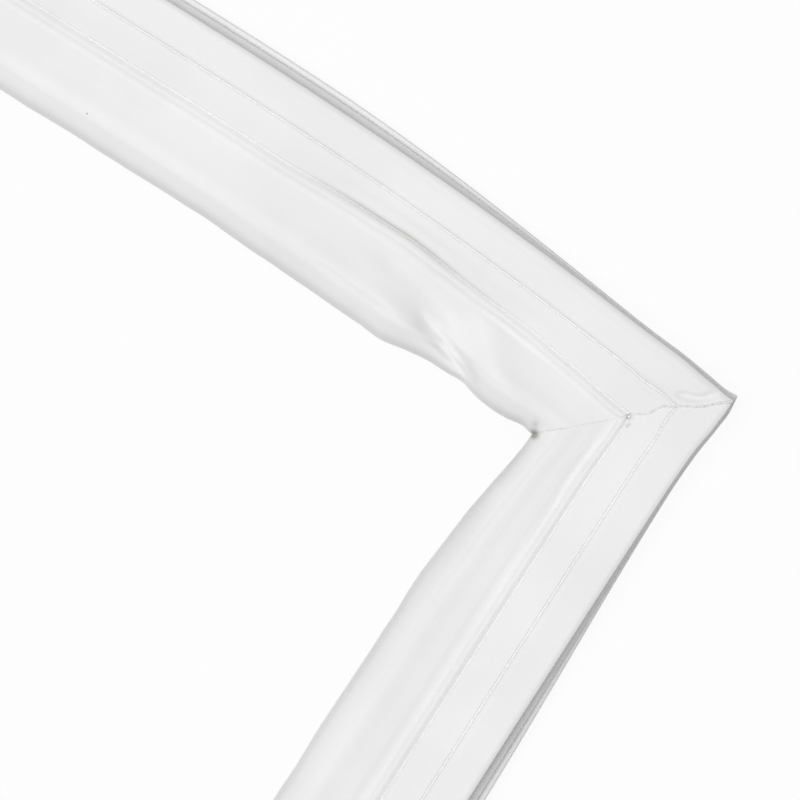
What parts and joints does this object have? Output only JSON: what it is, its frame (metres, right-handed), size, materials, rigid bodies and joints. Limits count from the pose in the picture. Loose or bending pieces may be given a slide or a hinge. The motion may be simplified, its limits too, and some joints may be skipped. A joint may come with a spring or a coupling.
{
  "type": "refrigerator door gasket",
  "caption": "Rectangular magnetic door seal of white flexible profile with mitred welded corners, a retaining dart, bellows, a magnet pocket and a wide inner fin.",
  "frame": {"origin": "middle of the space the loop takes up, at the height of the dart's tip, on which it lies", "axes": "+Z out of the sealing face, +X along the top and bottom lengths, +Y towards the bowed top length"},
  "size_m": [0.5706, 0.45, 0.02],
  "materials": {
    "white_pvc": "smooth, softly glossy white flexible PVC",
    "magnet": "matt dark brown ferrite-filled rubber"
  },
  "bodies": {
    "root": {"top_profile": "white_pvc", "right_profile": "white_pvc", "bottom_profile": "white_pvc", "left_profile": "white_pvc", "magnet_strip_top": "magnet", "magnet_strip_right": "magnet", "magnet_strip_bottom": "magnet", "magnet_strip_left": "magnet"}
  },
  "joints": []
}
